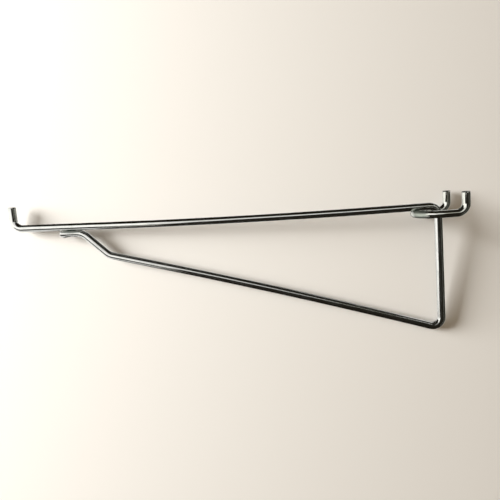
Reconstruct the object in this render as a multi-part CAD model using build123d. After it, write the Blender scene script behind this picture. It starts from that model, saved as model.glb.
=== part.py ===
from build123d import *
import os
from math import cos, radians, sin, tan

os.makedirs("parts", exist_ok=True)

# Pegboard shelf bracket, in millimetres. Two steel wires of one gauge are bent and welded together.
# +X points into the board, +Z is up, and the bracket is flat in the plane Y = 0, apart from its hook.
# The origin lies on the board's front face, at the height of the peg holes and halfway between them.

# Wire, bends and welds
wire_diameter = 4.88  # number 6 gauge
bend_radius = 6.0  # to the wire's axis, at the sharp bends
offset_bend_radius = 10.0  # to the wire's axis, at the two bends of the brace's offset
weld_set_down = 0.3  # how far two welded wires are pressed into each other
end_chamfer = 0.5  # on each cut end of a wire
bow_share = 0.9  # part of each half of a bowed run that its gentle arc takes up

# Pegboard and hook
peg_pitch = 25.4
board_thickness = 6.35
board_clearance = 0.5  # between the board's back face and the prongs
prong_rise = 13.4  # from the hole's axis to the prong's tip
loop_front = 17.0  # from the board's front face to the axis of the loop's front

# Frame
shelf_depth = 285.75  # a board sawn 11 1/4 inches wide
shelf_clearance = 1.9  # between the shelf's front edge and the lip
lip_height = 15.0  # from the arm's axis to the lip's tip
arm_rise = 6.9  # from the arm's axis at the leg to its axis at the lip, sprung up by the brace
leg_drop = 84.0  # from the arm's axis to the brace's axis, along the leg
brace_bow = 1.3  # how far the middle of the brace stands above a straight line
weld_from_lip = 47.5  # from the lip's axis back to the corner where the offset meets the tail
tail_length = 15.2  # from that corner forward to the cut end
offset_drop = 16.8  # height of the offset between brace and tail
offset_angle = 45.0  # slope of the offset, in degrees

# Places that follow from the sizes above
wire_radius = wire_diameter / 2
welded_spacing = wire_diameter - weld_set_down
leg_x = -wire_radius
lip_x = -(shelf_depth + shelf_clearance + wire_radius)
prong_x = board_thickness + board_clearance + wire_radius
arm_back_z = welded_spacing
arm_front_z = arm_back_z + arm_rise


def in_frame(x, z):
    """A point of the frame's own plane."""
    return Vector(x, 0, z)


def gentle_radius(before, corner, after):
    """Radius of the long arc that spreads a slight turn over most of the shorter run beside it."""
    half_turn = radians((corner - before).get_angle(after - corner)) / 2
    run = min((corner - before).length, (after - corner).length)
    return bow_share * run / tan(half_turn)


def round_bar(path):
    """The wire's round section, swept along a path."""
    section = Plane(origin=path @ 0, z_dir=path % 0) * Circle(wire_radius)
    return sweep(section, path=path)


def trimmed(wire, end):
    """A wire with the edge of one cut end chamfered."""
    rim = wire.edges().filter_by(GeomType.CIRCLE).sort_by_distance(end)[0]
    return chamfer(rim, end_chamfer)


def make_frame_wire():
    """Lip, arm, leg, brace, offset and tail: one wire, closed on itself by the tail's weld."""
    lip_tip = in_frame(lip_x, arm_front_z + lip_height)
    lip_corner = in_frame(lip_x, arm_front_z)
    top_corner = in_frame(leg_x, arm_back_z)
    lower_corner = in_frame(leg_x, arm_back_z - leg_drop)

    # The arm leaves the leg square and bows up, halfway to the weld, towards its straight front run
    offset_x = lip_x + weld_from_lip
    arm_middle = in_frame((leg_x + offset_x) / 2, arm_back_z)
    forward = (lip_corner - arm_middle).normalized()
    below = Vector(-forward.Z, 0, forward.X)

    # The tail lies along the underside of the arm's front run
    arm_at_offset = arm_middle + forward * ((arm_middle.X - offset_x) / -forward.X)
    offset_top = arm_at_offset + below * welded_spacing
    tail_end = offset_top + forward * tail_length
    offset_run = offset_drop / sin(radians(offset_angle))
    slope = in_frame(cos(radians(offset_angle)), -sin(radians(offset_angle)))
    offset_foot = offset_top + slope * offset_run

    # The brace bows up between the lower corner and the offset
    brace = offset_foot - lower_corner
    brace_up = in_frame(brace.Z, -brace.X).normalized()
    brace_middle = lower_corner + brace / 2 + brace_up * (2 * brace_bow)

    # Bent in two lengths that meet halfway down the leg
    leg_middle = (top_corner + lower_corner) / 2
    arm_radius = gentle_radius(top_corner, arm_middle, arm_at_offset)
    upper_path = FilletPolyline(
        [lip_tip, lip_corner, arm_middle, top_corner, leg_middle],
        radius=[bend_radius, arm_radius, bend_radius],
    )
    brace_radius = gentle_radius(lower_corner, brace_middle, offset_foot)
    lower_path = FilletPolyline(
        [leg_middle, lower_corner, brace_middle, offset_foot, offset_top, tail_end],
        radius=[bend_radius, brace_radius, offset_bend_radius, offset_bend_radius],
    )
    upper = trimmed(round_bar(upper_path), lip_tip)
    lower = trimmed(round_bar(lower_path), tail_end)
    return upper + lower


def make_peg_hook():
    """One wire: a U that passes under the arm, with its two ends turned up into prongs."""
    loop_radius = peg_pitch / 2
    loop_x = loop_radius - loop_front
    tip = Vector(prong_x, loop_radius, prong_rise)
    heel = Vector(prong_x, loop_radius, 0)
    loop_start = Vector(loop_x, loop_radius, 0)
    prong = FilletPolyline([tip, heel, loop_start], radius=bend_radius)
    loop = CenterArc((loop_x, 0), loop_radius, 90, 180)
    other_prong = mirror(prong, about=Plane.XZ)
    path = Wire([*prong.edges(), loop.edge(), *other_prong.edges()])
    other_tip = Vector(tip.X, -tip.Y, tip.Z)
    return trimmed(trimmed(round_bar(path), tip), other_tip)


# The arm is set down on the hook, and the weld presses the hook's seat into it
peg_hook = make_peg_hook()
frame_wire = make_frame_wire() - peg_hook

export_step(frame_wire, "parts/frame_wire.step")
export_step(peg_hook, "parts/peg_hook.step")
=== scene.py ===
"""Finishes the pegboard shelf bracket, in metres and in the frame of its solids.

Two bent wires of bright plated steel and their two welds lie against a sheet of pale paper. A lamp low
on the left lights them, and dark, grey and bright cards round the set give the plating a room to mirror.
"""

import logging
import math
from dataclasses import dataclass, field
from enum import Enum
from typing import Any

import bmesh
import bpy
from mathutils import Matrix, Vector, noise


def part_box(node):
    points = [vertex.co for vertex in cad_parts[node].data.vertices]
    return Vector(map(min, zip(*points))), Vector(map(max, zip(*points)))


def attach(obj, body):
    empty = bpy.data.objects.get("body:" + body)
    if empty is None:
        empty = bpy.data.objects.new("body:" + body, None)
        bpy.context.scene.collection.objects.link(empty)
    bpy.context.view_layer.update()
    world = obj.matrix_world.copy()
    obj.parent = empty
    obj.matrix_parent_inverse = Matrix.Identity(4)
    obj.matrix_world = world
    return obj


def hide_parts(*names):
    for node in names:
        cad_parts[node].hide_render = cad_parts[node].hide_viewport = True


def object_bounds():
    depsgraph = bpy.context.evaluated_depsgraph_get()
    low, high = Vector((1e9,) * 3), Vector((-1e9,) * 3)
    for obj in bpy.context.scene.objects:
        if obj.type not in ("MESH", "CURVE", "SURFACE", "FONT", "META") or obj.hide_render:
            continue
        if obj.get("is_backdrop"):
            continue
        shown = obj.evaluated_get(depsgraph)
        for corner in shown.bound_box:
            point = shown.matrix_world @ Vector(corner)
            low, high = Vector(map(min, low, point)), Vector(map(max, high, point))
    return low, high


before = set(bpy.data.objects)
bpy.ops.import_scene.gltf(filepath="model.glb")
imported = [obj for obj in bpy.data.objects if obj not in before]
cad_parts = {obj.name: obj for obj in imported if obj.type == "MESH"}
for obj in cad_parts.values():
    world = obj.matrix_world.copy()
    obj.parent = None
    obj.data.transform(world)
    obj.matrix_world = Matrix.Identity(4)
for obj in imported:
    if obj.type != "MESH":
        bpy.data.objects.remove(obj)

LOG = logging.getLogger("shelf_bracket")
MM = 0.001
BODY = "root"
STRAIGHTENED = "straightened"
SOFT_DETAIL = 3.0
FINE_DETAIL = 4.0
NOISE_ROUGHNESS = 0.55

Colour = tuple[float, float, float]
Point = tuple[float, float, float]
Outline = list[tuple[float, float]]
Ring = list[bmesh.types.BMEdge]


def millimetres(x: float, y: float, z: float) -> Vector:
    """A vector whose parts are given in millimetres."""
    return Vector((x, y, z)) * MM


class Op(Enum):
    """The sums that shader values are put through."""

    ADD = "ADD"
    SUBTRACT = "SUBTRACT"
    MULTIPLY = "MULTIPLY"
    MAXIMUM = "MAXIMUM"


class Socket:
    """A value of a shader tree, for use in plain sums."""

    def __init__(self, tree: "ShaderTree", link: bpy.types.NodeSocket) -> None:
        """Keeps the tree that the value belongs to.

        Args:
            tree: the tree that new nodes are added to.
            link: the output that carries the value.
        """
        self.tree = tree
        self.link = link

    def _sum(self, op: Op, first: Any, second: Any) -> "Socket":
        """Adds one Math node.

        Args:
            op: what the node works out.
            first: a value or a number.
            second: a value or a number.

        Returns:
            The node's value.
        """
        return self.tree.node("Math", {"operation": op.value}, {0: first, 1: second})

    def __add__(self, other: Any) -> "Socket":
        """This value plus another."""
        return self._sum(Op.ADD, self, other)

    def __radd__(self, other: Any) -> "Socket":
        """Another value plus this one."""
        return self._sum(Op.ADD, other, self)

    def __rsub__(self, other: Any) -> "Socket":
        """Another value less this one."""
        return self._sum(Op.SUBTRACT, other, self)

    def __mul__(self, other: Any) -> "Socket":
        """This value times another."""
        return self._sum(Op.MULTIPLY, self, other)

    def __rmul__(self, other: Any) -> "Socket":
        """Another value times this one."""
        return self._sum(Op.MULTIPLY, other, self)

    def __or__(self, other: Any) -> "Socket":
        """The larger of two masks."""
        return self._sum(Op.MAXIMUM, self, other)


class ShaderTree:
    """The nodes of one material, or of the world."""

    def __init__(self, owner: bpy.types.ID) -> None:
        """Empties the owner's tree.

        Args:
            owner: a material or a world.
        """
        owner.use_nodes = True
        self.nodes = owner.node_tree.nodes
        self.links = owner.node_tree.links
        self.nodes.clear()

    def node(
        self,
        kind: str,
        settings: dict[str, Any] | None = None,
        inputs: dict[str | int, Any] | None = None,
        output: str | int = 0,
    ) -> Socket | None:
        """Adds one node.

        Args:
            kind: the node's type, without its ShaderNode prefix.
            settings: its properties, set first.
            inputs: values or links for its sockets, by name or number.
            output: the socket that is handed back.

        Returns:
            The chosen output, or nothing for a node that has none.
        """
        made = self.nodes.new("ShaderNode" + kind)
        for name, value in (settings or {}).items():
            setattr(made, name, value)
        for name, value in (inputs or {}).items():
            if isinstance(value, Socket):
                self.links.new(value.link, made.inputs[name])
            else:
                made.inputs[name].default_value = value
        return Socket(self, made.outputs[output]) if made.outputs else None

    def show(self, surface: Socket) -> None:
        """Ends a material's tree with its surface."""
        self.node("OutputMaterial", None, {"Surface": surface})

    def blend(self, share: Socket, low: Any, high: Any) -> Socket:
        """Mixes two colours.

        Args:
            share: 0 for the first colour, 1 for the second.
            low: the first colour.
            high: the second colour.

        Returns:
            The mixed colour.
        """
        pair = [(*c, 1.0) if isinstance(c, tuple) else c for c in (low, high)]
        settings = {"data_type": "RGBA"}
        return self.node("Mix", settings, {0: share, 6: pair[0], 7: pair[1]}, output=2)

    def ease(self, value: Socket, start: float, end: float) -> Socket:
        """Rises softly from 0 to 1.

        Args:
            value: what is read.
            start: where the result is 0.
            end: where it is 1, which may lie below start.

        Returns:
            The eased value.
        """
        settings = {"interpolation_type": "SMOOTHSTEP"}
        inputs = {"Value": value, "From Min": start, "From Max": end}
        return self.node("MapRange", settings, inputs)

    def noise(self, place: Socket, scale: float, detail: float) -> Socket:
        """Soft noise between 0 and 1.

        Args:
            place: the coordinates that it is read at.
            scale: how many lumps fit in one unit of them.
            detail: how much finer noise is laid over it.

        Returns:
            The noise's value.
        """
        inputs = {"Vector": place, "Scale": scale, "Detail": detail, "Roughness": NOISE_ROUGHNESS}
        return self.node("TexNoise", {"noise_dimensions": "3D"}, inputs)

    def stretched(self, place: Socket, factors: Vector) -> Socket:
        """Coordinates multiplied axis by axis.

        Args:
            place: the coordinates.
            factors: one factor for each axis.

        Returns:
            The new coordinates.
        """
        return self.node("VectorMath", {"operation": "MULTIPLY"}, {0: place, 1: factors})

    def bump(self, height: Socket, strength: float, distance: float) -> Socket:
        """A normal that follows fine relief.

        Args:
            height: the relief, from 0 to 1.
            strength: how much of it shows.
            distance: how high it stands at 1.

        Returns:
            The normal.
        """
        inputs = {"Strength": strength, "Distance": distance, "Height": height}
        return self.node("Bump", None, inputs)


@dataclass(frozen=True)
class DullAndShadedSpot:
    """An ellipsoid of metal made rougher and painted darker: where the wires meet it stands for weld heat
    tint and painted shade, on the loop's front for haze and a painted reflection of shaded paper.
    """

    centre: Vector
    half_size: Vector
    pitch: float = 0.0
    raggedness: float = 0.9
    whole_within: float = 1.05
    gone_beyond: float = 1.55

    def mask(self, tree: ShaderTree, place: Socket, ragged: Socket) -> Socket:
        """Marks the dulled metal that is painted dark.

        Args:
            tree: the material's nodes.
            place: object coordinates.
            ragged: noise that roughens the spot's edge.

        Returns:
            1 in the spot, 0 away from it.
        """
        settings = {"vector_type": "TEXTURE"}
        inputs = {
            "Vector": place,
            "Location": self.centre,
            "Rotation": Vector((0.0, self.pitch, 0.0)),
            "Scale": self.half_size,
        }
        local = tree.node("Mapping", settings, inputs)
        reach = tree.node("VectorMath", {"operation": "LENGTH"}, {0: local}, output=1)
        return tree.ease(reach + ragged * self.raggedness, self.gone_beyond, self.whole_within)


@dataclass(frozen=True)
class BrightPlate:
    """Bright plate over drawn wire: a mirror with faint drawing lines, dull where it was welded or cut. Its
    spots are also painted dark, as painted shade where the wires meet and a painted reflection on the
    loop's front.
    """

    colour: Colour = (0.74, 0.74, 0.72)
    clouded: Colour = (0.62, 0.63, 0.60)
    # Dark grey-green of the spots: weld heat tint together with painted shade where the wires meet
    heat_tint_and_painted_shade: Colour = (0.17, 0.195, 0.17)
    sheared: Colour = (0.42, 0.41, 0.39)
    cloud_share: float = 0.6
    sheared_share: float = 0.8
    roughness: float = 0.06
    cloud_roughness: float = 0.10
    line_roughness: float = 0.06
    dull_roughness: float = 0.42
    line_width: float = 0.22 * MM
    line_length: float = 24.0 * MM
    line_relief: float = 0.04
    cloud_size: float = 9.0 * MM
    cloud_start: float = 0.42
    cloud_full: float = 0.68
    grain_size: float = 0.5 * MM
    grain_share: float = 0.45
    sheared_rim: float = 0.25 * MM
    bump_strength: float = 0.35
    bump_height: float = 0.06 * MM

    def material(self, name: str, spots: list[DullAndShadedSpot], length: float) -> bpy.types.Material:
        """Makes the plating of one wire.

        Args:
            name: the material's name.
            spots: the dull spots of that wire.
            length: the wire's length, from cut end to cut end.

        Returns:
            The material.
        """
        made = bpy.data.materials.new(name)
        tree = ShaderTree(made)
        place = tree.node("TexCoord", output="Object")
        straight = tree.node("Attribute", {"attribute_name": STRAIGHTENED}, output="Vector")

        # Drawing lines run along the wire, clouds of haze lie over it
        squeeze = Vector((1.0, 1.0, self.line_width / self.line_length))
        lines = tree.noise(tree.stretched(straight, squeeze), 1 / self.line_width, SOFT_DETAIL)
        haze = tree.noise(straight, 1 / self.cloud_size, SOFT_DETAIL)
        clouds = tree.ease(haze, self.cloud_start, self.cloud_full)
        grain = tree.noise(place, 1 / self.grain_size, FINE_DETAIL)

        dulled_and_shaded = self._dulled_and_shaded(tree, place, grain, spots)
        cut = self._cut_ends(tree, straight, length)

        # Painted shade: the spots darken the plate towards a dark grey-green, painting the shade of the
        # groove and crossing at the welds along with their heat tint, and on the loop a painted reflection
        # of shaded paper
        mottled = dulled_and_shaded * (1 - self.grain_share + self.grain_share * grain)
        plate = tree.blend(clouds * self.cloud_share, self.colour, self.clouded)
        plate = tree.blend(mottled, plate, self.heat_tint_and_painted_shade)
        plate = tree.blend(cut * self.sheared_share, plate, self.sheared)
        roughened = dulled_and_shaded | cut
        smooth = self.roughness + self.cloud_roughness * clouds + self.line_roughness * lines
        rough = smooth * (1 - roughened) + self.dull_roughness * roughened

        relief = lines * self.line_relief + grain * roughened
        normal = tree.bump(relief, self.bump_strength, self.bump_height)
        inputs = {"Base Color": plate, "Metallic": 1.0, "Roughness": rough, "Normal": normal}
        tree.show(tree.node("BsdfPrincipled", None, inputs))
        return made

    @staticmethod
    def _dulled_and_shaded(tree: ShaderTree, place: Socket, ragged: Socket, spots: list[DullAndShadedSpot]) -> Socket:
        """Joins the masks of all dull spots, which are painted dark as painted shade and painted
        reflection.

        Args:
            tree: the material's nodes.
            place: object coordinates.
            ragged: noise for the spots' edges.
            spots: the spots, at least one.

        Returns:
            1 in any spot, 0 elsewhere.
        """
        masks = [spot.mask(tree, place, ragged) for spot in spots]
        joined = masks[0]
        for mask in masks[1:]:
            joined = joined | mask
        return joined

    def _cut_ends(self, tree: ShaderTree, straight: Socket, length: float) -> Socket:
        """Marks the sheared face at both ends of a wire.

        Args:
            tree: the material's nodes.
            straight: coordinates on the straightened wire.
            length: the wire's length.

        Returns:
            1 on the cut faces, 0 on the plated round.
        """
        along = tree.node("SeparateXYZ", None, {0: straight}, output="Z")
        first = tree.ease(along, self.sheared_rim, 0.0)
        last = tree.ease(along, length - self.sheared_rim, length)
        return first | last


@dataclass(frozen=True)
class WeldMetal:
    """Metal squeezed out of a weld under the plate: dull, grey-green and lumpy, and so dark that it also
    paints the shade in the grooves between the wires.
    """

    # Near-black tones: painted shade in the weld grooves, mottled at random between these two
    bright: Colour = (0.09, 0.115, 0.095)
    dark: Colour = (0.015, 0.025, 0.02)
    lump: float = 0.7 * MM
    dark_below: float = 0.35
    bright_above: float = 0.65
    roughness: float = 0.30
    lump_roughness: float = 0.25
    bump_strength: float = 0.5
    bump_height: float = 0.1 * MM

    def material(self) -> bpy.types.Material:
        """Makes the weld's finish.

        Returns:
            The material.
        """
        made = bpy.data.materials.new("weld_metal")
        tree = ShaderTree(made)
        place = tree.node("TexCoord", output="Object")
        lumps = tree.noise(place, 1 / self.lump, FINE_DETAIL)
        shade = tree.ease(lumps, self.dark_below, self.bright_above)
        inputs = {
            "Base Color": tree.blend(shade, self.dark, self.bright),
            "Metallic": 1.0,
            "Roughness": self.roughness + self.lump_roughness * lumps,
            "Normal": tree.bump(lumps, self.bump_strength, self.bump_height),
        }
        tree.show(tree.node("BsdfPrincipled", None, inputs))
        return made


def add_object(name: str, mesh: bmesh.types.BMesh) -> bpy.types.Object:
    """Puts a finished mesh in the scene.

    Args:
        name: the object's name.
        mesh: its shape, which is used up.

    Returns:
        The object, at the origin.
    """
    data = bpy.data.meshes.new(name)
    mesh.to_mesh(data)
    mesh.free()
    made = bpy.data.objects.new(name, data)
    bpy.context.scene.collection.objects.link(made)
    return made


def add_piece(piece: bpy.types.Object, finish: bpy.types.Material, *nodes: str) -> None:
    """Makes an object a piece of the bracket.

    Args:
        piece: the object.
        finish: its material.
        nodes: the solids that it stands for, if any.
    """
    piece.data.materials.append(finish)
    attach(piece, BODY)
    if nodes:
        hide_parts(*nodes)
    LOG.info("%s: %d faces", piece.name, len(piece.data.polygons))


@dataclass
class BentWire:
    """A round wire, bent at the corners of a route and cut off square at both ends."""

    name: str
    radius: float
    corners: list[Vector]
    bend_radii: list[float]
    ring_spacing: float
    end_bevel: float
    sides: int = 48
    bevel_steps: int = 3
    fewest_steps: int = 2
    largest_turn: float = math.radians(4.0)
    shortest_run: float = 1e-7
    length: float = field(default=0.0, init=False)

    def shape(self) -> bmesh.types.BMesh:
        """Sweeps the wire's round section along the route.

        Returns:
            The closed wire, with each point's place on the straightened wire.
        """
        mesh = bmesh.new()
        layer = mesh.verts.layers.float_vector.new(STRAIGHTENED)
        self.length = 0.0
        first_rim = self._first_ring(mesh, layer)
        ring = first_rim
        here = self.corners[0]
        for corner, after, radius in zip(self.corners[1:], self.corners[2:], self.bend_radii):
            heading = (corner - here).normalized()
            leaving = (after - corner).normalized()
            turn = heading.angle(leaving)
            set_back = radius * math.tan(turn / 2)
            ring = self._run(mesh, layer, ring, corner - heading * set_back - here)
            inward = (leaving - heading).normalized()
            centre = corner + inward * (radius / math.cos(turn / 2))
            ring = self._bend(mesh, layer, ring, centre, heading.cross(leaving), turn, radius)
            here = corner + leaving * set_back
        last_rim = self._run(mesh, layer, ring, self.corners[-1] - here)
        self._close(mesh, [first_rim, last_rim])
        return mesh

    def _first_ring(self, mesh: bmesh.types.BMesh, layer: bmesh.types.BMLayerItem) -> Ring:
        """Draws the section at the first cut end.

        Args:
            mesh: the wire so far.
            layer: where each point's place on the straightened wire is kept.

        Returns:
            The section's edges.
        """
        drawn = bmesh.ops.create_circle(mesh, segments=self.sides, radius=self.radius)["verts"]
        for vert in drawn:
            vert[layer] = vert.co
        heading = self.corners[1] - self.corners[0]
        turn = heading.to_track_quat("Z", "Y").to_matrix().to_4x4()
        place = Matrix.Translation(self.corners[0]) @ turn
        bmesh.ops.transform(mesh, matrix=place, verts=drawn)
        return list(mesh.edges)

    def _run(
        self,
        mesh: bmesh.types.BMesh,
        layer: bmesh.types.BMLayerItem,
        ring: Ring,
        travel: Vector,
    ) -> Ring:
        """Draws a straight run.

        Args:
            mesh: the wire so far.
            layer: where each point's place on the straightened wire is kept.
            ring: the section's edges at the start.
            travel: from the run's start to its end.

        Returns:
            The section's edges at the end.
        """
        if travel.length < self.shortest_run:
            return ring
        steps = max(1, round(travel.length / self.ring_spacing))
        for _ in range(steps):
            grown = bmesh.ops.extrude_edge_only(mesh, edges=ring)["geom"]
            verts = [g for g in grown if isinstance(g, bmesh.types.BMVert)]
            bmesh.ops.translate(mesh, vec=travel / steps, verts=verts)
            ring = self._advance(grown, layer, travel.length / steps)
        return ring

    def _bend(
        self,
        mesh: bmesh.types.BMesh,
        layer: bmesh.types.BMLayerItem,
        ring: Ring,
        centre: Vector,
        axis: Vector,
        turn: float,
        radius: float,
    ) -> Ring:
        """Draws a bend.

        Args:
            mesh: the wire so far.
            layer: where each point's place on the straightened wire is kept.
            ring: the section's edges at the start.
            centre: the bend's centre.
            axis: the axis that the wire is bent round.
            turn: how far it is bent, in radians.
            radius: the bend's radius, to the wire's axis.

        Returns:
            The section's edges at the end.
        """
        by_length = round(turn * radius / self.ring_spacing)
        by_turn = math.ceil(turn / self.largest_turn)
        steps = max(self.fewest_steps, by_length, by_turn)
        for _ in range(steps):
            verts = dict.fromkeys(vert for edge in ring for vert in edge.verts)
            spun = bmesh.ops.spin(
                mesh, geom=[*ring, *verts], cent=centre, axis=axis.normalized(), angle=turn / steps, steps=1
            )
            ring = self._advance(spun["geom_last"], layer, turn * radius / steps)
        return ring

    def _advance(self, grown: list[Any], layer: bmesh.types.BMLayerItem, travel: float) -> Ring:
        """Notes how far along the wire a new section lies.

        Args:
            grown: what was drawn last.
            layer: where each point's place on the straightened wire is kept.
            travel: how far the section moved.

        Returns:
            The new section's edges.
        """
        self.length += travel
        verts = {g for g in grown if isinstance(g, bmesh.types.BMVert)}
        for vert in verts:
            vert[layer] = Vector((vert[layer].x, vert[layer].y, self.length))
        edges = [g for g in grown if isinstance(g, bmesh.types.BMEdge)]
        return [e for e in edges if e.verts[0] in verts and e.verts[1] in verts]

    def _close(self, mesh: bmesh.types.BMesh, rims: list[Ring]) -> None:
        """Caps both ends and rounds their rims.

        Args:
            mesh: the open wire.
            rims: the edges of both ends.
        """
        for face in mesh.faces:
            face.smooth = True
        caps = [bmesh.ops.contextual_create(mesh, geom=rim)["faces"][0] for rim in rims]
        for cap in caps:
            cap.smooth = False
        bmesh.ops.bevel(
            mesh,
            geom=[edge for rim in rims for edge in rim],
            offset=self.end_bevel,
            segments=self.bevel_steps,
            profile=0.5,
            affect="EDGES",
            material=-1,
        )
        bmesh.ops.recalc_face_normals(mesh, faces=mesh.faces)


def press_out(
    mesh: bmesh.types.BMesh, point: Vector, heading: Vector, radius: float, start: float
) -> None:
    """Seats a wire on another: what would lie inside the other is pressed back to its surface.

    Args:
        mesh: the wire that gives way.
        point: a point on the other wire's axis.
        heading: that axis's direction.
        radius: the other wire's radius.
        start: where along the first wire the seat may begin.
    """
    layer = mesh.verts.layers.float_vector[STRAIGHTENED]
    for vert in mesh.verts:
        if vert[layer].z < start:
            continue
        offset = vert.co - point
        away = offset - heading * offset.dot(heading)
        if away.length < radius:
            vert.co += away * (radius / away.length - 1)


def press_mark(
    mesh: bmesh.types.BMesh,
    spot: Vector,
    along: Vector,
    facing: Vector,
    half_length: float,
    depth: float,
) -> None:
    """Presses a shallow mark into one side of a wire, or raises a swelling where the depth is below zero.

    Args:
        mesh: the wire.
        spot: the point of the wire's axis under the mark's middle.
        along: the axis's direction there.
        facing: the side that is marked.
        half_length: half the mark's length.
        depth: how deep the mark is.
    """
    for vert in mesh.verts:
        offset = vert.co - spot
        reach = offset.dot(along) / half_length
        side = offset.dot(facing)
        if abs(reach) < 1 and side > 0:
            flank = side / offset.cross(along).length
            vert.co -= facing * (depth * (1 - reach**2) ** 2 * flank**2)


@dataclass
class WeldBead:
    """Metal squeezed out along a weld, in the groove between two wires."""

    name: str
    centre: Vector
    half_size: Vector
    pitch: float
    lump: float = 0.9 * MM
    lumpiness: float = 0.16 * MM
    segments: int = 48

    def build(self, finish: bpy.types.Material) -> None:
        """Makes the bead and dresses it.

        Args:
            finish: its material.
        """
        mesh = bmesh.new()
        bmesh.ops.create_uvsphere(
            mesh, u_segments=self.segments, v_segments=self.segments // 2, radius=1.0
        )
        lie_down = Matrix.Rotation(math.radians(90), 4, "Y")
        size = Matrix.Diagonal((*self.half_size, 1.0))
        turn = Matrix.Rotation(self.pitch, 4, "Y")
        place = Matrix.Translation(self.centre) @ turn @ size @ lie_down
        bmesh.ops.transform(mesh, matrix=place, verts=mesh.verts)
        bmesh.ops.recalc_face_normals(mesh, faces=mesh.faces)
        mesh.normal_update()
        for vert in mesh.verts:
            vert.co += vert.normal * (self.lumpiness * noise.noise(vert.co / self.lump))
        for face in mesh.faces:
            face.smooth = True
        add_piece(add_object(self.name, mesh), finish)


@dataclass
class Bracket:
    """The bracket's two wires and two welds."""

    # The frame's bends, as the solids have them
    bend_radius: float = 6.0 * MM
    offset_bend_radius: float = 10.0 * MM
    weld_set_down: float = 0.3 * MM
    end_bevel: float = 0.5 * MM
    bow_share: float = 0.9
    lip_height: float = 15.0 * MM
    arm_rise: float = 6.9 * MM
    leg_drop: float = 84.0 * MM
    brace_bow: float = 1.3 * MM
    weld_from_lip: float = 47.5 * MM
    tail_length: float = 15.2 * MM
    offset_drop: float = 16.8 * MM
    offset_angle: float = math.radians(45.0)

    # How finely the wires are drawn
    frame_ring_spacing: float = 1.0 * MM
    hook_ring_spacing: float = 0.5 * MM

    # The electrode's mark under the tail, and the swelling of the tail's end
    mark_half_length: float = 2.6 * MM
    mark_depth: float = 0.3 * MM
    swelling_from_end: float = 2.4 * MM
    swelling_half_length: float = 2.6 * MM
    swelling_height: float = 0.5 * MM

    # Half sizes and shifts of the dull spots at the welds and on the front of the loop, which are painted
    # dark as painted shade and painted reflection
    tail_spot_size: Vector = field(default_factory=lambda: millimetres(8.5, 6.0, 1.3))
    tail_spot_drop: float = 1.0 * MM
    hook_spot_size: Vector = field(default_factory=lambda: millimetres(3.4, 3.4, 2.6))
    loop_haze_and_painted_reflection_size: Vector = field(default_factory=lambda: millimetres(5.5, 7.5, 4.0))
    loop_haze_and_painted_reflection_shift: Vector = field(default_factory=lambda: millimetres(1.0, 7.2, 0.0))

    # Half sizes of the weld beads, and how the tail's bead keeps clear of its ends and of the seam
    tail_bead_width: float = 1.6 * MM
    tail_bead_height: float = 0.8 * MM
    tail_bead_end_gap: float = 0.6 * MM
    tail_bead_drop: float = 0.5 * MM
    hook_bead_size: Vector = field(default_factory=lambda: millimetres(1.7, 1.7, 0.55))

    def __post_init__(self) -> None:
        """Reads the sizes that the solids give, and works out the frame's corners."""
        low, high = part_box("frame_wire")
        self.radius = high.y
        self.spacing = 2 * self.radius - self.weld_set_down
        leg_x = high.x - self.radius
        lip_x = low.x + self.radius
        self.lip_tip = Vector((lip_x, 0, high.z))
        self.lip_corner = Vector((lip_x, 0, high.z - self.lip_height))
        arm_z = self.lip_corner.z - self.arm_rise
        self.top_corner = Vector((leg_x, 0, arm_z))
        self.lower_corner = Vector((leg_x, 0, arm_z - self.leg_drop))

        # The arm bows up from its middle, and the tail lies along the underside of its front run
        offset_x = lip_x + self.weld_from_lip
        self.arm_middle = Vector(((leg_x + offset_x) / 2, 0, arm_z))
        self.forward = (self.lip_corner - self.arm_middle).normalized()
        self.below = Vector((-self.forward.z, 0, self.forward.x))
        self.pitch = math.atan2(self.forward.z, -self.forward.x)
        to_offset = (self.arm_middle.x - offset_x) / -self.forward.x
        self.arm_at_offset = self.arm_middle + self.forward * to_offset
        self.offset_top = self.arm_at_offset + self.below * self.spacing
        self.tail_middle = self.offset_top + self.forward * (self.tail_length / 2)
        self.tail_weld = self.tail_middle - self.below * (self.spacing / 2)
        self.tail_end = self.offset_top + self.forward * self.tail_length

        # The brace bows up between the lower corner and the offset
        slope = Vector((math.cos(self.offset_angle), 0, -math.sin(self.offset_angle)))
        self.offset_foot = self.offset_top + slope * (self.offset_drop / math.sin(self.offset_angle))
        brace = self.offset_foot - self.lower_corner
        brace_up = Vector((brace.z, 0, -brace.x)).normalized()
        self.brace_middle = self.lower_corner + brace / 2 + brace_up * (2 * self.brace_bow)

    def gentle_radius(self, before: Vector, corner: Vector, after: Vector) -> float:
        """Radius of the long arc that bows a run.

        Args:
            before: the corner before the run.
            corner: the run's middle.
            after: the corner after it.

        Returns:
            The radius, to the wire's axis.
        """
        half_turn = (corner - before).angle(after - corner) / 2
        shorter = min((corner - before).length, (after - corner).length)
        return self.bow_share * shorter / math.tan(half_turn)

    def frame_wire(self) -> BentWire:
        """The frame's wire, from the lip's tip to the tail's cut end.

        Returns:
            The wire, not yet built.
        """
        corners = [
            self.lip_tip,
            self.lip_corner,
            self.arm_middle,
            self.top_corner,
            self.lower_corner,
            self.brace_middle,
            self.offset_foot,
            self.offset_top,
            self.tail_end,
        ]
        bend_radii = [
            self.bend_radius,
            self.gentle_radius(self.top_corner, self.arm_middle, self.arm_at_offset),
            self.bend_radius,
            self.bend_radius,
            self.gentle_radius(self.lower_corner, self.brace_middle, self.offset_foot),
            self.offset_bend_radius,
            self.offset_bend_radius,
        ]
        return BentWire(
            "plated_frame_wire", self.radius, corners, bend_radii, self.frame_ring_spacing, self.end_bevel
        )

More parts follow.
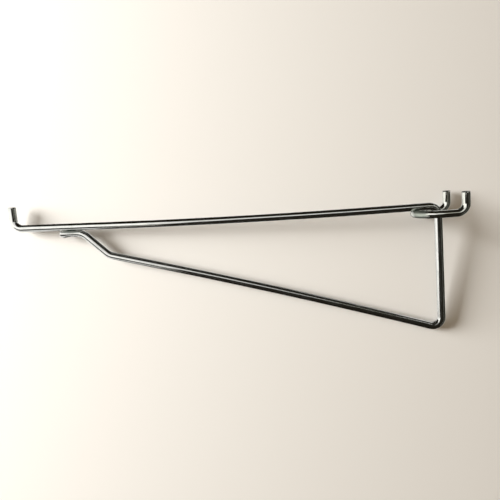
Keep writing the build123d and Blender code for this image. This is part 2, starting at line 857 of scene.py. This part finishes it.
    def peg_hook(self) -> BentWire:
        """The hook's wire, from one prong's tip round the loop to the other's.

        Returns:
            The wire, not yet built.
        """
        low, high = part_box("peg_hook")
        prong_x = high.x - self.radius
        loop_x = low.x + self.radius
        side = high.y - self.radius
        level = low.z + self.radius
        corners = [
            Vector((prong_x, side, high.z)),
            Vector((prong_x, side, level)),
            Vector((loop_x, side, level)),
            Vector((loop_x, -side, level)),
            Vector((prong_x, -side, level)),
            Vector((prong_x, -side, high.z)),
        ]
        bend_radii = [self.bend_radius, side, side, self.bend_radius]
        return BentWire(
            "plated_peg_hook", self.radius, corners, bend_radii, self.hook_ring_spacing, self.end_bevel
        )

    def build(self, plate: BrightPlate, hook_plate: BrightPlate, weld_metal: WeldMetal) -> None:
        """Makes both wires and both welds, and dresses them.

        Args:
            plate: the frame wire's finish.
            hook_plate: the hook's finish.
            weld_metal: the welds' finish.
        """
        hook = self.peg_hook()
        loop_x = hook.corners[2].x
        hook_weld = Vector((loop_x, 0, self.top_corner.z - self.spacing / 2))
        # The hook's spot darkens both wires where they cross: weld heat tint and painted shade at the
        # crossing
        hook_spot = DullAndShadedSpot(hook_weld, self.hook_spot_size)
        self._build_frame_wire(plate, hook_spot)
        self._build_hook(hook, hook_plate, hook_spot)
        self._build_welds(weld_metal.material(), hook_weld)

    def _build_frame_wire(self, plate: BrightPlate, hook_spot: DullAndShadedSpot) -> None:
        """Bends the frame's wire, seats and marks its tail, and dresses it.

        Args:
            plate: its finish.
            hook_spot: the dull, painted-shade spot where the hook is welded to it.
        """
        wire = self.frame_wire()
        mesh = wire.shape()
        tail_start = wire.length - 2 * self.tail_length
        press_out(mesh, self.arm_middle, self.forward, self.radius, tail_start)
        press_mark(
            mesh, self.tail_middle, self.forward, self.below, self.mark_half_length, self.mark_depth
        )
        swelling = self.tail_end - self.forward * self.swelling_from_end
        press_mark(
            mesh, swelling, self.forward, self.below, self.swelling_half_length, -self.swelling_height
        )
        # The tail's spot sits lower, on the tail's top, where its dark colour paints the shade of the
        # groove under the arm along with the weld's heat tint
        spot_centre = self.tail_weld + self.below * self.tail_spot_drop
        spots = [DullAndShadedSpot(spot_centre, self.tail_spot_size, self.pitch), hook_spot]
        finish = plate.material("bright_plate_frame", spots, wire.length)
        add_piece(add_object(wire.name, mesh), finish, "frame_wire")

    def _build_hook(self, hook: BentWire, plate: BrightPlate, hook_spot: DullAndShadedSpot) -> None:
        """Bends the hook's wire, seats it under the arm and dresses it.

        Args:
            hook: its wire.
            plate: its finish.
            hook_spot: the dull, painted-shade spot where it is welded to the arm.
        """
        mesh = hook.shape()
        along_arm = Vector((1, 0, 0))
        press_out(mesh, self.top_corner, along_arm, self.radius, 0.0)
        # Haze on the loop's front, whose grey-green colour is a painted reflection of the shaded paper that
        # the loop faces
        haze = DullAndShadedSpot(hook.corners[3] + self.loop_haze_and_painted_reflection_shift, self.loop_haze_and_painted_reflection_size)
        finish = plate.material("bright_plate_hook", [hook_spot, haze], hook.length)
        add_piece(add_object(hook.name, mesh), finish, "peg_hook")

    def _build_welds(self, finish: bpy.types.Material, hook_weld: Vector) -> None:
        """Makes the bead of each weld.

        Args:
            finish: their material.
            hook_weld: where hook and arm meet.
        """
        tail_bead_length = self.tail_length / 2 - self.tail_bead_end_gap
        tail_bead = Vector((tail_bead_length, self.tail_bead_width, self.tail_bead_height))
        tail_bead_centre = self.tail_weld + self.below * self.tail_bead_drop
        WeldBead("tail_weld", tail_bead_centre, tail_bead, self.pitch).build(finish)
        WeldBead("hook_weld", hook_weld, self.hook_bead_size, 0.0).build(finish)


class Glow(Enum):
    """How bright a card is in a mirror."""

    DARK = (0.016, 0.014, 0.010)
    DIM = (0.07, 0.07, 0.06)
    DUSK = (0.26, 0.26, 0.23)
    SLATE = (0.42, 0.42, 0.38)
    GREY = (0.62, 0.61, 0.55)
    PALE = (0.95, 0.94, 0.92)
    BRIGHT = (1.38, 1.37, 1.32)


@dataclass(frozen=True)
class Card:
    """A flat card beside the set, of one even brightness, that only mirrors see."""

    name: str
    corners: list[Point]
    glow: Glow = Glow.DARK

    def build(self) -> None:
        """Hangs the card."""
        finish = bpy.data.materials.new(self.name)
        tree = ShaderTree(finish)
        tree.show(tree.node("Emission", None, {"Color": (*self.glow.value, 1.0), "Strength": 1.0}))
        mesh = bmesh.new()
        mesh.faces.new([mesh.verts.new(corner) for corner in self.corners])
        card = add_object(self.name, mesh)
        card.data.materials.append(finish)
        card.visible_camera = False
        card.visible_diffuse = False
        card.visible_shadow = False
        card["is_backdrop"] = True


def across_view(y: float, outline: Outline) -> list[Point]:
    """Corners of a card that stands across the view, from its outline in X and Z."""
    return [(x, y, z) for x, z in outline]


def along_view(x: float, outline: Outline) -> list[Point]:
    """Corners of a card that stands along the view, from its outline in Y and Z."""
    return [(x, y, z) for y, z in outline]


def lying_flat(z: float, outline: Outline) -> list[Point]:
    """Corners of a card that lies flat, from its outline in X and Y."""
    return [(x, y, z) for x, y in outline]


def oblong(start: float, end: float, low: float, high: float) -> Outline:
    """Outline of a rectangle."""
    return [(start, low), (end, low), (end, high), (start, high)]


@dataclass(frozen=True)
class MirrorRoom:
    """A dark room of cards: a bright window on the left, a pale slit in front and a gap behind.

    What the wires mirror of it gives them their bands of dark and light.
    """

    # Walls
    left: float = -2.5
    right: float = 1.2
    window: float = -1.9
    front: float = -1.0
    near: float = -0.142
    back: float = 1.2
    low: float = -1.2
    high: float = 1.2
    layer: float = 0.01

    # The window, which is less bright towards its right end
    window_low: float = -2.0
    window_high: float = 2.0
    window_fade: float = -0.75
    window_end: float = -0.25
    skirt_top: float = -1.3
    skirt_foot: float = -3.4

    # The slit in the front wall, which is greyer on the right
    slit_depth: float = 0.05
    slit_low: float = 0.1
    slit_high: float = 0.8
    slit_fade: float = 0.42
    slit_end: float = 0.95

    # The right wall, from its slanted front corner to its paler back corner
    corner_front: float = -0.8
    corner_back: float = 0.7
    front_corner_high: float = 0.36
    back_corner_high: float = 0.45

    # The gap in the back wall
    gap_left: float = -0.6
    gap_step: float = 0.0
    gap_right: float = 0.5

    def cards(self) -> list[Card]:
        """All cards of the room, not yet hung."""
        return self._dark_cards() + self._lit_cards()

    def _dark_cards(self) -> list[Card]:
        """The room's dark walls.

        Returns:
            The cards, not yet hung.
        """
        above = [
            (self.left, -0.55),
            (-1.1, -0.62),
            (-0.8, -1.4),
            (self.window_end, self.window),
            (self.right, self.window),
            (self.right, self.back),
            (self.left, self.back),
        ]
        below = [
            (-0.82, -0.85),
            (self.right, -0.85),
            (self.right, self.back),
            (-1.1, self.back),
            (-1.1, 0.15),
            (-0.85, 0.0),
        ]
        window_skirt = [(-3.2, self.skirt_foot), (-1.7, self.skirt_foot), (-1.12, -0.5), (-3.2, -0.65)]
        front_low = [
            (self.window_end, self.low),
            (self.slit_end, self.low),
            (self.slit_end, self.front_corner_high),
            (0.3, 0.2),
            (self.window_end, self.slit_low),
        ]
        front_high = [
            (self.window_end, 0.85),
            (0.1, 0.7),
            (0.4, 0.56),
            (self.right, 0.55),
            (self.right, self.high),
            (self.window_end, self.high),
        ]
        near = [(-0.275, -0.3), (0.15, -0.3), (0.15, 0.008), (-0.16, 0.008), (-0.195, 0.0), (-0.245, -0.1)]
        left_skirt = oblong(self.window, -0.7, self.window_low, -0.75)
        right_wall = oblong(self.corner_front, self.corner_back, self.low, self.high)
        back_low = oblong(self.gap_left, self.gap_step, self.low, -0.7)
        back_right_low = oblong(self.gap_step, self.gap_right, self.low, self.back_corner_high)
        back_high = oblong(self.gap_left, self.gap_right, 0.75, self.high)
        back_left_low = oblong(self.left, self.gap_left, self.low, -0.85)
        back_left_high = oblong(self.left, self.gap_left, 0.35, self.high)
        return [
            Card("card_above", lying_flat(self.high, above)),
            Card("card_below", lying_flat(self.low, below)),
            Card("card_window_skirt", across_view(self.window + self.layer, window_skirt)),
            Card("card_left_skirt", along_view(self.left + self.layer, left_skirt)),
            Card("card_front_low", across_view(self.front, front_low)),
            Card("card_front_high", across_view(self.front, front_high)),
            Card("card_near", across_view(self.near, near)),
            Card("card_right", along_view(self.right, right_wall)),
            Card("card_back_low", across_view(self.back, back_low)),
            Card("card_back_right_low", across_view(self.back, back_right_low)),
            Card("card_back_high", across_view(self.back, back_high)),
            Card("card_back_left_low", across_view(self.back, back_left_low)),
            Card("card_back_left_high", across_view(self.back, back_left_high)),
        ]

    def _lit_cards(self) -> list[Card]:
        """The window, the slit and the paler corners.

        Returns:
            The cards, not yet hung.
        """
        behind_front = self.front - self.slit_depth
        before_window = self.window + self.layer
        slit_left = oblong(self.window_end, self.slit_fade, self.slit_low, self.slit_high)
        slit_right = oblong(self.slit_fade, self.right, self.slit_low, self.slit_high)
        window_front = oblong(self.left, self.window_fade, self.window_low, self.window_high)
        window_edge = oblong(self.window_fade, self.window_end, self.window_low, self.window_high)
        window_left = oblong(self.window, self.back, self.window_low, self.window_high)
        dusk_strip = oblong(-0.2, self.corner_back, -0.03, 0.10)
        dim_strip = oblong(0.05, 0.13, self.low, -0.1)
        back_corner = oblong(self.gap_right, self.right, self.low, self.back_corner_high)
        right_corner = oblong(self.corner_back, self.back, self.low, self.back_corner_high)
        front_corner = [
            (self.slit_end, self.front, self.low),
            (self.right, self.corner_front, self.low),
            (self.right, self.corner_front, self.front_corner_high),
            (self.slit_end, self.front, self.front_corner_high),
        ]
        skirt_edge = [
            (-1.28, self.skirt_top),
            (self.window_end, self.skirt_top),
            (self.window_end, -0.9),
            (-0.75, -0.5),
            (-1.12, -0.45),
        ]
        skirt_foot = [
            (-1.7, self.skirt_foot),
            (self.window_end, self.skirt_foot),
            (self.window_end, self.skirt_top),
            (-1.28, self.skirt_top),
        ]
        return [
            Card("card_slit_left", across_view(behind_front, slit_left), Glow.PALE),
            Card("card_slit_right", across_view(behind_front, slit_right), Glow.GREY),
            Card("card_window_front", across_view(self.window, window_front), Glow.BRIGHT),
            Card("card_window_edge", across_view(self.window, window_edge), Glow.PALE),
            Card("card_dusk", along_view(self.right - self.layer, dusk_strip), Glow.DUSK),
            Card("card_corner", front_corner, Glow.DUSK),
            Card("card_dim_strip", across_view(self.front + self.layer, dim_strip), Glow.DIM),
            Card("card_window_left", along_view(self.left, window_left), Glow.BRIGHT),
            Card("card_back_corner", across_view(self.back, back_corner), Glow.SLATE),
            Card("card_right_corner", along_view(self.right, right_corner), Glow.SLATE),
            Card("card_skirt_edge", across_view(before_window, skirt_edge), Glow.DUSK),
            Card("card_skirt_foot", across_view(before_window, skirt_foot), Glow.SLATE),
        ]


@dataclass(frozen=True)
class PalePaper:
    """Pale matt paper that shows from its front only."""

    colour: Colour = (0.893, 0.841, 0.79)
    roughness: float = 0.9
    fibres_per_metre: float = 900.0
    bump_strength: float = 0.1
    bump_height: float = 0.05 * MM

    def material(self) -> bpy.types.Material:
        """Makes the paper's finish.

        Returns:
            The material.
        """
        made = bpy.data.materials.new("pale_paper")
        tree = ShaderTree(made)
        place = tree.node("TexCoord", output="Object")
        fibres = tree.noise(place, self.fibres_per_metre, SOFT_DETAIL)
        inputs = {
            "Base Color": (*self.colour, 1.0),
            "Roughness": self.roughness,
            "Normal": tree.bump(fibres, self.bump_strength, self.bump_height),
        }
        front = tree.node("BsdfPrincipled", None, inputs)
        back = tree.node("BsdfTransparent")
        side = tree.node("NewGeometry", output="Backfacing")
        tree.show(tree.node("MixShader", None, {0: side, 1: front, 2: back}))
        return made


@dataclass
class Stage:
    """Paper behind the bracket, a lamp low on the left, and a room for the plating to mirror."""

    paper: PalePaper = PalePaper()
    paper_size: float = 2.8
    paper_clearance: float = 0.25 * MM
    front_gap: float = 2.6 * MM
    sky: Colour = Glow.PALE.value
    fill: Colour = (1.0, 0.84, 0.62)
    fill_strength: float = 0.235
    lamp_place: Vector = field(default_factory=lambda: Vector((-1.24, -0.355, 0.34)))
    lamp_width: float = 0.53
    lamp_height: float = 0.55
    lamp_power: float = 41.0
    lamp_colour: Colour = (0.97, 1.0, 1.0)
    room: MirrorRoom = MirrorRoom()

    def build(self, bracket: Bracket) -> None:
        """Sets the stage.

        Args:
            bracket: what lies on the paper.
        """
        self._lay_paper(bracket)
        self._light_lamp()
        self._set_sky()
        for card in self.room.cards():
            card.build()

    def _lay_paper(self, bracket: Bracket) -> None:
        """Lays the paper on the hook and the lower corner, and just clear of the arm's front end.

        Args:
            bracket: what lies on the paper.
        """
        hook_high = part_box("peg_hook")[1]
        behind = Vector((0, bracket.radius, 0))
        hook_touch = Vector((hook_high.x / 2, hook_high.y, 0))
        across = bracket.lower_corner + behind - hook_touch
        along = bracket.lip_corner + behind + Vector((0, self.front_gap, 0)) - hook_touch
        normal = across.cross(along).normalized()
        if normal.y > 0:
            normal.negate()
        mesh = bmesh.new()
        bmesh.ops.create_grid(mesh, x_segments=1, y_segments=1, size=self.paper_size / 2)
        turn = normal.to_track_quat("Z", "X").to_matrix().to_4x4()
        place = Matrix.Translation(hook_touch - normal * self.paper_clearance) @ turn
        bmesh.ops.transform(mesh, matrix=place, verts=mesh.verts)
        paper = add_object("paper", mesh)
        paper.data.materials.append(self.paper.material())
        paper.visible_glossy = False
        paper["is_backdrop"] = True

    def _light_lamp(self) -> None:
        """Hangs the lamp."""
        lamp = bpy.data.lights.new("lamp", "AREA")
        lamp.shape = "RECTANGLE"
        lamp.size = self.lamp_width
        lamp.size_y = self.lamp_height
        lamp.energy = self.lamp_power
        lamp.color = self.lamp_colour
        hung = bpy.data.objects.new("lamp", lamp)
        bpy.context.scene.collection.objects.link(hung)
        low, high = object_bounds()
        aim = (low + high) / 2 - self.lamp_place
        turn = aim.to_track_quat("-Z", "Y").to_matrix().to_4x4()
        hung.matrix_world = Matrix.Translation(self.lamp_place) @ turn
        hung.visible_glossy = False

    def _set_sky(self) -> None:
        """Pale all round for the camera and in mirrors, and a weak warm fill for the rest."""
        world = bpy.data.worlds.new("studio")
        bpy.context.scene.world = world
        tree = ShaderTree(world)
        seen = tree.node("LightPath", output="Is Camera Ray")
        for name in ("Is Glossy Ray", "Is Transmission Ray"):
            seen = seen | tree.node("LightPath", output=name)
        fill = tree.node("Background", None, {"Color": (*self.fill, 1.0), "Strength": self.fill_strength})
        pale = tree.node("Background", None, {"Color": (*self.sky, 1.0), "Strength": 1.0})
        surface = tree.node("MixShader", None, {0: seen, 1: fill, 2: pale})
        tree.node("OutputWorld", None, {"Surface": surface})


@dataclass(frozen=True)
class PhotoCamera:
    """The camera, close in front of the bracket and slightly tilted."""

    place: Point = (-116.65 * MM, -252.21 * MM, 26.32 * MM)
    azimuth: float = math.radians(2.457)
    elevation: float = math.radians(5.619)
    roll: float = math.radians(-4.743)
    lens: float = 27.0
    sensor: float = 36.0
    shift_up: float = -0.05
    nearest: float = 1.0 * MM

    def build(self) -> None:
        """Sets the camera up."""
        data = bpy.data.cameras.new("camera")
        data.lens = self.lens
        data.sensor_width = self.sensor
        data.shift_y = self.shift_up
        data.clip_start = self.nearest
        level = math.cos(self.elevation)
        ahead = Vector(
            (-math.sin(self.azimuth) * level, math.cos(self.azimuth) * level, -math.sin(self.elevation))
        )
        right = Vector((math.cos(self.azimuth), math.sin(self.azimuth), 0))
        up = right.cross(ahead)
        tilt = Matrix.Rotation(self.roll, 3, -ahead)
        axes = Matrix((tilt @ right, tilt @ up, -ahead)).transposed()
        made = bpy.data.objects.new("camera", data)
        bpy.context.scene.collection.objects.link(made)
        made.matrix_world = Matrix.Translation(Vector(self.place)) @ axes.to_4x4()
        bpy.context.scene.camera = made


def main() -> None:
    logging.basicConfig(level=logging.INFO, format="%(name)s: %(message)s")
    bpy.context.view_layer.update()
    bpy.context.scene.view_settings.view_transform = "Standard"
    bracket = Bracket()
    # The hook's spot colour is lighter: on the loop's front it is a painted reflection of shaded paper, at
    # the weld painted shade and heat tint
    hook_plate = BrightPlate(
        colour=(0.74, 0.74, 0.69),
        clouded=(0.70, 0.71, 0.65),
        heat_tint_and_painted_shade=(0.42, 0.46, 0.40),
        cloud_roughness=0.08,
        line_roughness=0.03,
        dull_roughness=0.5,
    )
    bracket.build(BrightPlate(), hook_plate, WeldMetal())
    Stage().build(bracket)
    PhotoCamera().build()


if __name__ == "__main__":
    main()
